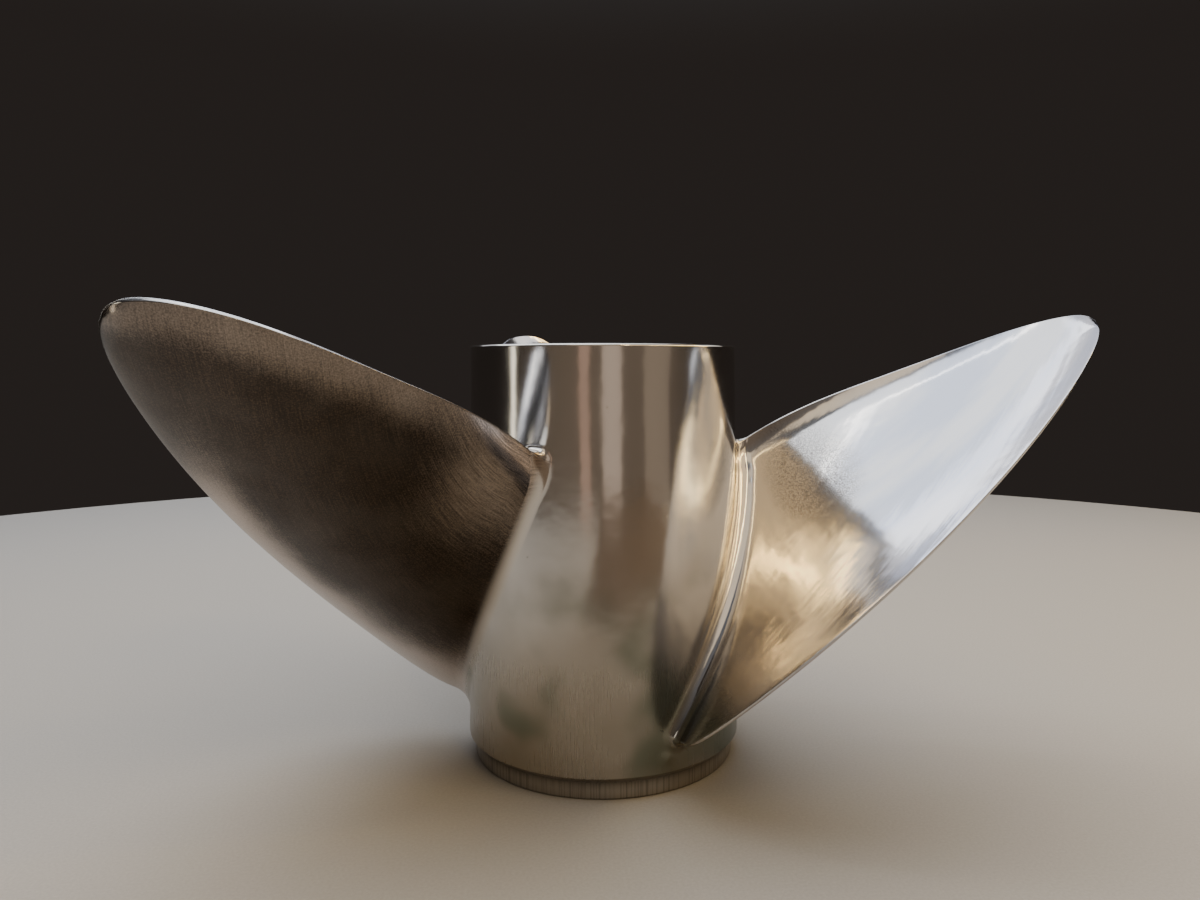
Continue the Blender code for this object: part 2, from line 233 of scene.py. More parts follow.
def pick_waves(seed):
    """Whole turns round the barrel, rise along it, phase and height of each wave."""
    dice = np.random.default_rng(seed)
    turns = dice.integers(*WAVE_TURNS, WAVE_COUNT)
    rises = dice.uniform(-WAVE_RISE, WAVE_RISE, WAVE_COUNT)
    phases = dice.uniform(0.0, math.tau, WAVE_COUNT)
    heights = WAVE_SLOPE * BARREL_FORWARD_RADIUS / turns / math.sqrt(WAVE_COUNT / 2)
    return list(zip(turns, rises, phases, heights))


BARREL_WAVES = pick_waves(WAVE_SEED)


def barrel_wave(angle, height):
    """How far the polished barrel stands out of its true cone, in metres."""
    total = 0.0
    for turns, rise, phase, size in BARREL_WAVES:
        total = total + size * np.sin(turns * angle + rise * height + phase)
    edge = smooth((BARREL_LENGTH - height) / WAVE_FADE) * smooth((height - WAVE_FOOT) / WAVE_FADE)
    return total * edge


highest = max(size for turns, rise, phase, size in BARREL_WAVES)
print(WAVE_COUNT, "waves, the highest", round(highest * 1000, 3), "mm")

# %% [markdown]
# ## The barrel
# The exhaust barrel is a long tapered tube. It stands on an inset band that fits into
# the motor's gearcase, and its after rim is rounded. The profile runs down the outside
# and up the bore, and each of its points turns into a circle that the waves then bend.

# %% Outer and inner radius of the barrel
BARREL_COLUMNS = 320
BARREL_ROWS = 110
BORE_ROWS = 16
ROUNDING_STEPS = 8
ROW_SPREAD = 0.9
FOOT_TURN = -60
RIM_HEIGHT = BARREL_LENGTH - RIM_ROUNDING
BORE_FOOT = FOOT_BAND_HEIGHT + 2 * FOOT_STEP_HEIGHT
DENT_ANGLE = math.radians(-70.2)
DENT_HEIGHT = 0.0155
DENT_WIDTH = 0.0022
DENT_RISE = 0.00060


def barrel_radius(height):
    """Outer radius of the tapered barrel at a height above the forward end."""
    share = (height - FOOT_BAND_HEIGHT) / (BARREL_LENGTH - FOOT_BAND_HEIGHT)
    return BARREL_FORWARD_RADIUS + (BARREL_AFT_RADIUS - BARREL_FORWARD_RADIUS) * share


def barrel_bore(height):
    """Inner radius of the barrel above its foot band."""
    share = (height - BORE_FOOT) / (RIM_HEIGHT - BORE_FOOT)
    return BARREL_FORWARD_RADIUS - BARREL_WALL + (BARREL_AFT_RADIUS - BARREL_FORWARD_RADIUS) * share


def barrel_surface(angle, height):
    """Outer radius with the waves and the small bruise below the first blade's nose."""
    across = (angle - DENT_ANGLE) * BARREL_FORWARD_RADIUS / DENT_WIDTH
    along = (height - DENT_HEIGHT) / DENT_WIDTH
    bruise = DENT_RISE * np.exp(-across ** 2 - along ** 2)
    return barrel_radius(height) + barrel_wave(angle, height) + bruise


def corner_arc(centre_radius, centre_height, size, start, end):
    """Points (radius, height) of a rounded corner from one angle to another, in degrees."""
    points = []
    for step in range(ROUNDING_STEPS + 1):
        angle = math.radians(start + (end - start) * step / ROUNDING_STEPS)
        radius = centre_radius + size * math.cos(angle)
        points.append((radius, centre_height + size * math.sin(angle)))
    return points


def turned_rows(profile, columns):
    """Rows of a turned shape from its profile of (radius, height) points."""
    angle = np.arange(columns) / columns * math.tau
    return np.array([round_shaft(radius, angle, height) for radius, height in profile])


def turned_piece(name, profile, columns):
    """A turned shape whose profile closes on itself."""
    return loft(name, turned_rows(profile, columns), cap_ends=False, round_rows=True)


def make_barrel():
    """The barrel's skin, with its waves, its foot band and its rounded rim."""
    bore_aft = BARREL_AFT_RADIUS - BARREL_WALL
    step_top = FOOT_BAND_HEIGHT + FOOT_STEP_HEIGHT
    wall_foot = step_top + FOOT_CHAMFER
    profile = corner_arc(bore_aft + RIM_ROUNDING, RIM_HEIGHT, RIM_ROUNDING, 180, 90)
    profile += corner_arc(BARREL_AFT_RADIUS - RIM_ROUNDING, RIM_HEIGHT, RIM_ROUNDING, 90, 0)
    wall_start = len(profile)
    for row in range(1, BARREL_ROWS):
        share = row / BARREL_ROWS
        height = RIM_HEIGHT + (wall_foot - RIM_HEIGHT) * share ** ROW_SPREAD
        profile.append((barrel_radius(height), height))
    wall_end = len(profile)
    step_radius = barrel_radius(step_top) - FOOT_CHAMFER
    profile += corner_arc(step_radius, wall_foot, FOOT_CHAMFER, 0, FOOT_TURN)
    profile += [
        (FOOT_BAND_RADIUS, FOOT_BAND_HEIGHT - FOOT_STEP_HEIGHT),
        (FOOT_BAND_RADIUS, FOOT_BAND_HEIGHT / 2),
    ]
    profile += corner_arc(FOOT_BAND_RADIUS - FOOT_CHAMFER, FOOT_CHAMFER, FOOT_CHAMFER, 0, -90)
    inside = FOOT_BAND_RADIUS - BARREL_WALL
    profile += corner_arc(inside + FOOT_CHAMFER, FOOT_CHAMFER, FOOT_CHAMFER, -90, -180)
    profile.append((inside, FOOT_BAND_HEIGHT))
    for row in range(BORE_ROWS):
        height = BORE_FOOT + (RIM_HEIGHT - BORE_FOOT) * row / BORE_ROWS
        profile.append((barrel_bore(height), height))
    rows = turned_rows(profile, BARREL_COLUMNS)
    angle = np.arctan2(rows[:, :, 1], rows[:, :, 0])
    radius = np.hypot(rows[:, :, 0], rows[:, :, 1])
    waved = barrel_surface(angle, rows[:, :, 2]) / radius
    rows[wall_start:wall_end, :, :2] *= waved[wall_start:wall_end, :, None]
    return loft("barrel_casting", rows, cap_ends=False, round_rows=True)


barrel = make_barrel()
keep_flat_shade(barrel)
dress(barrel, "outer_barrel")

# %% [markdown]
# ## The blades
# A propeller blade is drawn as sections on cylinders. Each section is laid out flat, as
# arc against height, then wrapped round its cylinder. The section has a cambered mean
# line that curls up into a cup at the trailing edge, a thickness that grows to the middle
# and a rounded nose. The root sinks into the barrel through a fillet, broad on the
# pressure side and tight on the suction side, because that is where the wheel reaches.

# %% Shape of a section
CHORD_STATIONS = 72
EDGE_POINTS = 16
TAIL_SQUARENESS = 0.55
TAIL_BULGE = 0.35
FILLET_ROWS = 12
SPAN_ROWS = 84
FILLET_TABLE_ROWS = 20
BURIED = 0.00003
BLEND_DEGREES = 25.0

chord_shares = 0.5 - 0.5 * np.cos(np.linspace(0.0, math.pi, CHORD_STATIONS))


def along_span(values, share):
    """Value at a share of the span, on the Bezier curve of the control values."""
    order = len(values) - 1
    total = 0.0
    for i, value in enumerate(values):
        total += math.comb(order, i) * share ** i * (1 - share) ** (order - i) * value
    return total


def rounded_end(first, last, outward, squareness, bulge):
    """Points of a rounded edge between two edge points, without those points."""
    centre = (first + last) / 2
    arm = first - centre
    reach = outward * np.linalg.norm(arm) * bulge
    angle = np.linspace(0.0, math.pi, EDGE_POINTS + 2)[1:-1]
    across = np.sign(np.cos(angle)) * np.abs(np.cos(angle)) ** squareness
    out = np.sin(angle) ** squareness
    return centre + arm * across[:, None] + reach * out[:, None]


def turned_left(flat):
    """Flat directions turned left by a right angle."""
    return np.stack([-flat[:, 1], flat[:, 0]], axis=1)


def section_outline(radius):
    """Closed outline of a section, unrolled flat as (arc, height), nose to tail and back."""
    span = (radius - BLADE_ROOT_RADIUS) / (BLADE_TIP_RADIUS - BLADE_ROOT_RADIUS)
    closing = math.sqrt(1 - span ** TIP_FULLNESS)
    half_angle = math.radians(along_span(HALF_CHORD_DEGREES, span)) * closing
    half_rise = along_span(PITCHES, span) / math.tau * half_angle
    half_chord = np.array([half_angle * radius, half_rise])
    centre_arc = math.radians(along_span(MIDDLE_DEGREES, span)) * radius
    centre = np.array([centre_arc, along_span(MIDDLE_HEIGHTS, span)])
    chord = 2 * np.linalg.norm(half_chord)
    along = 2 * half_chord / chord
    normal = np.array([-along[1], along[0]])
    slimness = min(1.0, chord / SLIM_CHORD)
    t = chord_shares
    cup = min(CUP_WIDTH, CUP_SHARE * chord)
    curl = np.clip(1 - (1 - t) * chord / cup, 0.0, None) ** 2
    bow = BLADE_CAMBER * chord * (1 - CAMBER_LOSS * span) * 4 * t * (1 - t)
    offset = slimness * CUP_LIFT * (curl - t) - bow
    middle = centre + half_chord * (2 * t - 1)[:, None] + normal * offset[:, None]
    side = turned_left(unit(np.gradient(middle, t, axis=0)))
    thickest = ROOT_THICKNESS + (TIP_THICKNESS - ROOT_THICKNESS) * span ** THICKNESS_FADE
    after = TRAILING_ROOT_THICKNESS + (TRAILING_TIP_THICKNESS - TRAILING_ROOT_THICKNESS) * span
    ends = LEADING_THICKNESS * (1 - t) + after * t
    body = np.sin(math.pi * (t / BODY_LENGTH) ** BODY_LEAN)
    half = slimness * (ends + np.clip(thickest - ends, 0.0, None) * body) / 2
    upper = middle + side * half[:, None]
    lower = middle - side * half[:, None]
    tail = rounded_end(upper[-1], lower[-1], along, TAIL_SQUARENESS, TAIL_BULGE)
    nose = rounded_end(lower[0], upper[0], -along, 1.0, 1.0)
    return np.concatenate([upper, tail, lower[::-1], nose])


def outward_of(loop):
    """Outward direction at each point of a closed outline."""
    return turned_left(unit(np.roll(loop, -1, axis=0) - np.roll(loop, 1, axis=0)))


def fillet_sizes():
    """Radius of the root fillet at each point of the outline."""
    near_nose = 1 - smooth(chord_shares / NOSE_SHARE)
    near_tail = 1 - smooth((1 - chord_shares) / TAIL_SHARE)
    ease = smooth(chord_shares)
    suction = SUCTION_FORWARD_FILLET + (SUCTION_AFT_FILLET - SUCTION_FORWARD_FILLET) * ease
    sides = []
    for size in (PRESSURE_FILLET, suction):
        side = size + (NOSE_FILLET - size) * near_nose
        sides.append(side + (TAIL_FILLET - side) * near_tail)
    ends = np.ones(EDGE_POINTS)
    return np.concatenate([sides[0], ends * TAIL_FILLET, sides[1][::-1], ends * NOSE_FILLET])


print("a section has", len(section_outline(BLADE_ROOT_RADIUS)), "points")

# %% [markdown]
# The fillet needs care. Each row of it stands a little higher on the barrel and a little
# closer to the blade, so that it is a quarter circle seen along the root. Its lowest row
# lies a hair under the barrel's surface, and there its normals are the barrel's own.
# So the light runs on from barrel to blade without a seam, as on one casting.

# %% Wrap the sections into a blade
NORMAL_STEP = 0.0005


def wrap(flat, radii):
    """Wrap flat (arc, height) points round cylinders of the given radii."""
    angle = flat[:, 0] / radii
    fade = np.clip(1 - (radii - BLADE_ROOT_RADIUS) / TAPER_FADE, 0.0, None)
    seat = barrel_radius(flat[:, 1]) - BURIED - BLADE_ROOT_RADIUS
    return round_shaft(radii + seat * fade, angle, flat[:, 1])


def blade_rows():
    """All rows of the first blade, from the barrel to the tip."""
    sizes = fillet_sizes()
    start = BLADE_ROOT_RADIUS + sizes.max()
    outline_radii = np.linspace(BLADE_ROOT_RADIUS, start, FILLET_TABLE_ROWS)
    outlines = np.array([section_outline(radius) for radius in outline_radii])
    count = len(sizes)
    rows = []
    for row in range(FILLET_ROWS):
        angle = math.pi / 2 * row / FILLET_ROWS
        radii = BLADE_ROOT_RADIUS + sizes * (1 - math.cos(angle))
        place = (radii - BLADE_ROOT_RADIUS) / sizes.max() * (FILLET_TABLE_ROWS - 1)
        step = np.clip(place.astype(int), 0, FILLET_TABLE_ROWS - 2)
        part = (place - step)[:, None]
        pick = np.arange(count)
        flat = outlines[step, pick] * (1 - part) + outlines[step + 1, pick] * part
        flat = flat + outward_of(flat) * (sizes * (1 - math.sin(angle)))[:, None]
        rows.append(wrap(flat, radii))
    reach = (BLADE_TIP_RADIUS - start) * TIP_STATION_SHARE
    for row in range(SPAN_ROWS):
        radius = start + reach * math.sin(math.pi / 2 * row / (SPAN_ROWS - 1))
        rows.append(wrap(section_outline(radius), np.full(count, radius)))
    return np.array(rows)


def row_normals(rows):
    """Normals of a loft, from the steps between its points, pointing outward."""
    along = np.gradient(rows, axis=0)
    around = np.roll(rows, -1, axis=1) - np.roll(rows, 1, axis=1)
    return unit(np.cross(along, around))


def turn(points, angle):
    """Turn points or directions about the shaft axis."""
    flat = np.array([[math.cos(angle), math.sin(angle)], [-math.sin(angle), math.cos(angle)]])
    turned = points.copy()
    turned[..., :2] = points[..., :2] @ flat
    return turned


def barrel_normals(rows):
    """The barrel's own normals where the rows stand, waves included."""
    angle = np.arctan2(rows[..., 1], rows[..., 0])
    height = rows[..., 2]
    step = NORMAL_STEP
    radius = barrel_surface(angle, height)
    turning = barrel_surface(angle + step, height) - barrel_surface(angle - step, height)
    rising = barrel_surface(angle, height + step) - barrel_surface(angle, height - step)
    out = round_shaft(1.0, angle, 0.0)
    round_way = np.stack([-np.sin(angle), np.cos(angle), np.zeros_like(angle)], axis=-1)
    normal = out - round_way * (turning / (2 * step) / radius)[..., None]
    normal[..., 2] -= rising / (2 * step)
    return unit(normal)


def make_blade(number, first_rows):
    """One blade, seated on the waved barrel."""
    rows = turn(first_rows, math.tau / BLADE_COUNT * (number - 1))
    angle = np.arctan2(rows[..., 1], rows[..., 0])
    radius = np.hypot(rows[..., 0], rows[..., 1])
    fade = np.clip(1 - (radius - BLADE_ROOT_RADIUS) / TAPER_FADE, 0.0, None)
    lift = (barrel_surface(angle, rows[..., 2]) - barrel_radius(rows[..., 2])) * fade
    rows[..., :2] *= (1 + lift / radius)[..., None]
    normals = row_normals(rows)
    share = np.zeros(len(rows))
    share[:FILLET_ROWS] = 1 - smooth(np.arange(FILLET_ROWS) * 90.0 / FILLET_ROWS / BLEND_DEGREES)
    blend = share[:, None, None]
    normals = unit(normals * (1 - blend) + barrel_normals(rows) * blend)
    piece = loft(f"blade_{number}_casting", rows, cap_ends=True, end_points=EDGE_POINTS)
    piece.data.normals_split_custom_set_from_vertices(normals.reshape(-1, 3).tolist())
    chord = np.linalg.norm(rows[:, 0] - rows[:, CHORD_STATIONS - 1], axis=1)[:, None]
    ends = np.ones(EDGE_POINTS)
    share = np.concatenate([chord_shares, ends, chord_shares[::-1], 0 * ends])
    over = np.linspace(1.0, -1.0, EDGE_POINTS)
    flat = np.ones(CHORD_STATIONS)
    side = np.concatenate([flat, over, -flat, -over])
    lay = np.stack([share * chord, radius, np.broadcast_to(side, radius.shape)], axis=-1)
    write_on_points(piece, "lay", lay.reshape(-1, 3))
    write_on_points(piece, "to_tail", ((1 - share) * chord).reshape(-1))
    return piece


first_rows = blade_rows()
blades = []
for number in range(1, BLADE_COUNT + 1):
    blade = make_blade(number, first_rows)
    dress(blade, f"blade_{number}")
    blades.append(blade)

# %% [markdown]
# ## Inside the barrel
# Exhaust gas leaves the motor between two tubes. The inner hub carries the drive, and
# three ribs tie it to the barrel. On the real casting they are one piece, with a fillet
# where a rib meets a tube, so the ribs here flare at both sides and sink a hair into
# the tubes. Their ends are rounded off, as in any cast passage.

# %% Inner hub
HUB_COLUMNS = 160
HUB_ROWS = 24
HUB_ROUNDING = 0.0012
BUSHING_GAP = 0.0003


def make_inner_hub():
    """The tube that holds the bushing, with the lip that it rests on."""
    bore = INNER_HUB_RADIUS - INNER_HUB_WALL
    size = HUB_ROUNDING
    profile = corner_arc(bore + size, INNER_HUB_AFT - size, size, 180, 90)
    profile += corner_arc(INNER_HUB_RADIUS - size, INNER_HUB_AFT - size, size, 90, 0)
    top, foot = INNER_HUB_AFT - size, INNER_HUB_FORWARD + size
    for row in range(1, HUB_ROWS):
        profile.append((INNER_HUB_RADIUS, top + (foot - top) * row / HUB_ROWS))
    profile += corner_arc(INNER_HUB_RADIUS - size, foot, size, 0, -90)
    lip = bore - INNER_HUB_LIP
    profile += corner_arc(lip + size, foot, size, -90, -180)
    lip_top = BUSHING_FORWARD - BUSHING_GAP
    profile += [(lip, lip_top - size / 4), (lip + size / 4, lip_top), (bore - size / 4, lip_top)]
    profile += [(bore, lip_top + size / 4), (bore, (lip_top + top) / 2)]
    return turned_piece("hub_casting", profile, HUB_COLUMNS)


inner_hub = make_inner_hub()
keep_flat_shade(inner_hub)
dress(inner_hub, "inner_hub")

# %% Ribs
RIB_FILLET = 0.0040
RIB_FILLET_STEPS = 7
RIB_ROWS = 20
RIB_END_SHARE = 0.25
RIB_END_WIDTH = 0.0001
RIB_BURIED = 0.00025


def rib_fillet(radius, half, away):
    """Points from a tube up onto a rib; away is 1 on the hub and -1 in the barrel."""
    points = []
    for step in range(RIB_FILLET_STEPS + 1):
        angle = math.pi / 2 * step / RIB_FILLET_STEPS
        out = half + RIB_FILLET * (1 - math.sin(angle))
        rise = RIB_FILLET * (1 - math.cos(angle)) - RIB_BURIED * (1 - step / RIB_FILLET_STEPS)
        points.append((math.sqrt(radius ** 2 - out ** 2) + away * rise, out))
    return points


def rib_outline(height, half):
    """Outline of a rib at a height, from the hub to the bore and back, with fillets."""
    hub_end = rib_fillet(INNER_HUB_RADIUS, half, 1)
    bore_end = rib_fillet(barrel_bore(height), half, -1)
    side = np.array(hub_end + bore_end[::-1])
    back = side[::-1] * (1, -1)
    flat = np.concatenate([side, back])
    return np.column_stack([flat, np.full(len(flat), height)])


def make_rib(number):
    """One rib, with its two ends rounded to half circles."""
    half = RIB_THICKNESS / 2
    rows = []
    for step in range(RIB_ROWS + 1):
        share = step / RIB_ROWS
        end_share = max(1 - min(share, 1 - share) / RIB_END_SHARE, 0.0)
        rounding = math.pi / 2 * end_share
        straight = (share - RIB_END_SHARE) / (1 - 2 * RIB_END_SHARE)
        height = RIB_FORWARD + half + (RIB_AFT - RIB_FORWARD - 2 * half) * min(max(straight, 0), 1)
        height += math.copysign(half * math.sin(rounding), share - 0.5)
        rows.append(rib_outline(height, max(half * math.cos(rounding), RIB_END_WIDTH)))
    angle = math.radians(RIB_ROTATION_DEGREES + 360.0 / BLADE_COUNT * (number - 1))
    return loft(f"rib_{number}_casting", turn(np.array(rows), angle), cap_ends=True)


ribs = []
for number in range(1, BLADE_COUNT + 1):
    rib = make_rib(number)
    keep_flat_shade(rib)
    dress(rib, f"rib_{number}")
    ribs.append(rib)

# %% [markdown]
# ## Bushing and sleeve
# The motor drives the propeller through rubber, which spares the gears when a blade
# strikes something. The rubber is moulded on a bronze sleeve and pressed into the hub, so
# it bulges a little at its free end. The sleeve's bore has fifteen teeth. They are
# made by one rule: the radius of the bore as a function of the angle round it.

# %% Rubber bushing
BULGE = 0.0006
BULGE_STEPS = 12
BUSHING_COLUMNS = 128
BUSHING_BURIED = 0.00005
BUSHING_ROUNDING = 0.0012


def make_bushing():
    """The rubber, a hair into the hub and the sleeve, with a bulged after end."""
    outer = INNER_HUB_RADIUS - INNER_HUB_WALL + BUSHING_BURIED
    inner = SLEEVE_RADIUS - BUSHING_BURIED
    top, foot, size = BUSHING_AFT, BUSHING_FORWARD - BUSHING_GAP, BUSHING_ROUNDING
    profile = corner_arc(inner + size, top - size, size, 150, 90)
    for step in range(1, BULGE_STEPS):
        share = step / BULGE_STEPS
        radius = inner + size + (outer - inner - 2 * size) * share
        fade = share * (1 - share) * 4
        profile.append((radius, top - BULGE * math.cos(math.tau * share) * fade))
    profile += corner_arc(outer - size, top - size, size, 90, 20)
    profile += [(outer, top - 3 * size), (outer, (top + foot) / 2), (outer, foot), (inner, foot)]
    profile += [(inner, (top + foot) / 2), (inner, top - 3 * size)]
    return turned_piece("bushing_rubber", profile, BUSHING_COLUMNS)


bushing = make_bushing()
keep_flat_shade(bushing)
dress(bushing, "rubber_bushing")

# %% Splined sleeve
SLEEVE_COLUMNS = 450
SLEEVE_ROUNDING = 0.0006
TOOTH_CHAMFER = 0.0010
CREST_CHAMFER = 1.2
FLANK_CHAMFER = 0.3
CREASE_DEGREES = 28
TOOTH_CREST_SHARE = 0.40
TOOTH_FLANK_SHARE = 0.15
TOOTH_VALLEY_SHARE = 0.30


def tooth_depth(angle):
    """How deep the bore is cut at an angle, from 0 on a tooth to 1 between two teeth."""
    share = (angle / math.tau * SPLINE_COUNT + TOOTH_CREST_SHARE / 2) % 1.0
    rise = (share - TOOTH_CREST_SHARE) / TOOTH_FLANK_SHARE
    fall = (1.0 - share) / (1.0 - TOOTH_CREST_SHARE - TOOTH_FLANK_SHARE - TOOTH_VALLEY_SHARE)
    return np.clip(np.minimum(rise, fall), 0.0, 1.0)


def make_sleeve():
    """The bronze sleeve, turned outside and broached inside, with chamfered teeth."""
    size = SLEEVE_ROUNDING
    flange_top = SLEEVE_FORWARD + SLEEVE_FLANGE_HEIGHT
    outside = corner_arc(SLEEVE_RADIUS - size, SLEEVE_AFT - size, size, 90, 0)
    outside += [(SLEEVE_RADIUS, (SLEEVE_AFT + flange_top) / 2), (SLEEVE_RADIUS, flange_top + size)]
    outside += [(SLEEVE_RADIUS + size, flange_top)]
    outside += corner_arc(SLEEVE_FLANGE_RADIUS - size, flange_top - size, size, 90, 0)
    outside += corner_arc(SLEEVE_FLANGE_RADIUS - size, SLEEVE_FORWARD + size, size, 0, -90)
    outer_rows = turned_rows(outside, SLEEVE_COLUMNS)
    angle = np.arange(SLEEVE_COLUMNS) / SLEEVE_COLUMNS * math.tau
    bore = SPLINE_TIP_RADIUS + (SPLINE_ROOT_RADIUS - SPLINE_TIP_RADIUS) * tooth_depth(angle)
    inner_rows = []
    ends = [(SLEEVE_FORWARD, TOOTH_CHAMFER), (SLEEVE_FORWARD + TOOTH_CHAMFER, 0.0)]
    ends += [((SLEEVE_FORWARD + SLEEVE_AFT) / 2, 0.0)]
    ends += [(SLEEVE_AFT - TOOTH_CHAMFER, 0.0), (SLEEVE_AFT, TOOTH_CHAMFER)]
    for height, chamfer in ends:
        radius = np.maximum(bore, SPLINE_TIP_RADIUS + chamfer * CREST_CHAMFER)
        radius = np.maximum(radius, bore + chamfer * FLANK_CHAMFER)
        inner_rows.append(round_shaft(radius, angle, height))
    rows = np.concatenate([outer_rows, np.array(inner_rows)])
    return loft("sleeve_bronze", rows, cap_ends=False, round_rows=True)


sleeve = make_sleeve()
sleeve.data.set_sharp_from_angle(angle=math.radians(CREASE_DEGREES))
dress(sleeve, "splined_sleeve")

# %% [markdown]
# ## Camera
# The photograph was taken with a short lens from just above the barrel's middle, so the
# camera stands 40 cm away and looks slightly down. Its place was found by laying the
# model's outlines over the picture.

# %% Camera
PICTURE_WIDTH = 1200
FOCAL_PIXELS = 895.5
MIDDLE_SHIFT_PIXELS = 21.9
SENSOR_WIDTH_MM = 36.0
CAMERA_PLACE = (-0.0337, -0.395, 0.1699)
CAMERA_DIP = 0.092
CAMERA_TURN = -0.106

camera_data = bpy.data.cameras.new("camera")
camera_data.sensor_width = SENSOR_WIDTH_MM
camera_data.lens = camera_data.sensor_width * FOCAL_PIXELS / PICTURE_WIDTH
camera_data.shift_x = -MIDDLE_SHIFT_PIXELS / PICTURE_WIDTH
camera_data.clip_start = 0.01
camera = add_object("camera", camera_data)
camera.location = CAMERA_PLACE
camera.rotation_euler = (math.pi / 2 - CAMERA_DIP, 0.0, CAMERA_TURN)
bpy.context.scene.camera = camera
print("lens", round(camera_data.lens, 2), "mm")

# %% [markdown]
# ## Finishes written as sums
# A finish is a little calculation that runs at every point of a surface. Drawn as nodes
# it soon becomes a net that nobody can read. So we wrap a socket in a small class and
# give it Python's operators: a sum of two values then adds the Math node by itself, and
# 1 - mask works too. Every other node comes from one method, which sets the node up
# first and then fills its sockets with numbers or links.

# %% A value that flows between shader nodes
class Flow:
    """A socket of a node tree that Python's operators can combine."""

    def __init__(self, tree, socket=None):
        self.tree = tree
        self.socket = socket

    def node(self, kind, settings=None, sockets=None, out=0):
        """Any other node: its settings first, then the values or links of its sockets."""
        made = self.tree.nodes.new(kind)
        for name, value in (settings or {}).items():
            setattr(made, name, value)
        for name, value in (sockets or {}).items():
            if isinstance(value, Flow):
                self.tree.links.new(value.socket, made.inputs[name])
            else:
                made.inputs[name].default_value = value
        return Flow(self.tree, made.outputs[out])

    def math(self, operation, *values):
        """A Math node on one value or on two."""
        return self.node("ShaderNodeMath", {"operation": operation}, dict(enumerate(values)))

    def __add__(self, other):
        return self.math("ADD", self, other)

    def __sub__(self, other):
        return self.math("SUBTRACT", self, other)

    def __rsub__(self, other):
        return self.math("SUBTRACT", other, self)

    def __mul__(self, other):
        return self.math("MULTIPLY", self, other)

    __radd__ = __add__
    __rmul__ = __mul__

    def into(self, shader, name):
        """Feed a socket of a shader."""
        self.tree.links.new(self.socket, shader.inputs[name])


# %% [markdown]
# A few small helpers cover all that a worn metal needs. Three make noise, in clouds or
# drawn out along a direction, and count it per metre, so that 1000 makes marks about a
# millimetre apart. The others give an eased step between two values, a mix of two
# colours, a coordinate of a point and its distance from the shaft. The last two start a
# finish and feed its shader. A plain factor in a sum is a share of a mix.

# %% Helpers for finishes
def cloud(place, per_metre, detail=2.0):
    """Cloudy noise from 0 to 1, with the middle at 0.5."""
    sockets = {"Vector": place, "Scale": per_metre, "Detail": detail}
    return place.node("ShaderNodeTexNoise", {"noise_dimensions": "3D"}, sockets)


def drawn_out(place, per_metre, detail=2.0):
    """Cloudy noise with its own number of clouds per metre along each direction."""
    scaled = place.node("ShaderNodeVectorMath", {"operation": "MULTIPLY"}, {0: place, 1: per_metre})
    return cloud(scaled, 1.0, detail)


def swept(place, degrees, per_metre, detail=2.0):
    """Drawn-out noise whose directions are first turned in the piece's own map."""
    sockets = {0: place, "Angle": math.radians(degrees)}
    turned = place.node("ShaderNodeVectorRotate", {"rotation_type": "Z_AXIS"}, sockets)
    return drawn_out(turned, per_metre, detail)


def ease(value, start, end):
    """An eased step: 0 at the start value and 1 at the end value."""
    sockets = {"Value": value, "From Min": start, "From Max": end}
    return value.node("ShaderNodeMapRange", {"interpolation_type": "SMOOTHSTEP"}, sockets)


def mixed(share, first, second):
    """A colour between two colours."""
    settings = {"data_type": "RGBA"}
    return share.node("ShaderNodeMix", settings, {0: share, 6: first, 7: second}, out=2)


def part_of(place, axis):
    """The coordinate of a point along the axis "X", "Y" or "Z"."""
    return place.node("ShaderNodeSeparateXYZ", {}, {0: place}, out=axis)


def from_shaft(place):
    """Distance of a point from the shaft axis."""
    across = place.node("ShaderNodeVectorMath", {"operation": "MULTIPLY"}, {0: place, 1: (1, 1, 0)})
    return place.node("ShaderNodeVectorMath", {"operation": "LENGTH"}, {0: across}, out="Value")


def new_finish(name):
    """A new material, the place on the object to start from, and the material's shader."""
    material = bpy.data.materials.new(name)
    material.use_nodes = True
    place = Flow(material.node_tree).node("ShaderNodeTexCoord", out="Object")
    return material, place, material.node_tree.nodes["Principled BSDF"]


def set_finish(shader, colour, roughness, height, metallic=1.0):
    """Feed a shader, and let a height in metres bend its shading."""
    colour.into(shader, "Base Color")
    roughness.into(shader, "Roughness")
    sockets = {"Height": height, "Distance": 1.0, "Strength": 1.0}
    height.node("ShaderNodeBump", {}, sockets, out="Normal").into(shader, "Normal")
    shader.inputs["Metallic"].default_value = metallic


# %% [markdown]
# ## Polished steel
# Stainless steel is a warm grey mirror that the polisher never quite finishes. Up on the
# barrel the wheel has left it bright. Lower down it is duller and brushed up and down, and
# its colour is darkened there with painted shade, in greenish patches too. The foot band is
# bare machined metal with dark streaks of painted reflection and painted shade under its
# step, and the bore still has the dull skin of the casting. One function gives colour,
# roughness and height of all that from the place on the object, so that blades and barrel
# share it and no edge shows between them. It works in the object's own coordinates, which
# need no map. Pairs of numbers below are where a mask starts and where it is full.

# %% The skin that barrel and blades share
BRIGHT_STEEL = (0.63, 0.60, 0.56, 1.0)
# Painted shade: the darker steel of the lower barrel.
PAINTED_SHADE_STEEL = (0.315, 0.28, 0.228, 1.0)
# Painted shade: darker greenish patches on the lower barrel.
SHADE_PATCH_GREEN = (0.155, 0.170, 0.125, 1.0)
FOOT_STEEL = (0.40, 0.37, 0.33, 1.0)
CAST_SKIN = (0.30, 0.285, 0.27, 1.0)
# Grime in the casting pits, and painted shade and dark painted reflection on the foot band.
GRIME_AND_PAINTED_SHADE = (0.055, 0.050, 0.045, 1.0)

STAND_OFF = (0.0040, 0.0006)
BRUSHED_HEIGHTS = (0.135, 0.060)
BORE_RADII = (0.05705, 0.05695)
BORE_HEIGHTS = (0.1780, 0.1776)
FOOT_FADE = 0.0010
STEP_SHADE_FADE = 0.0028

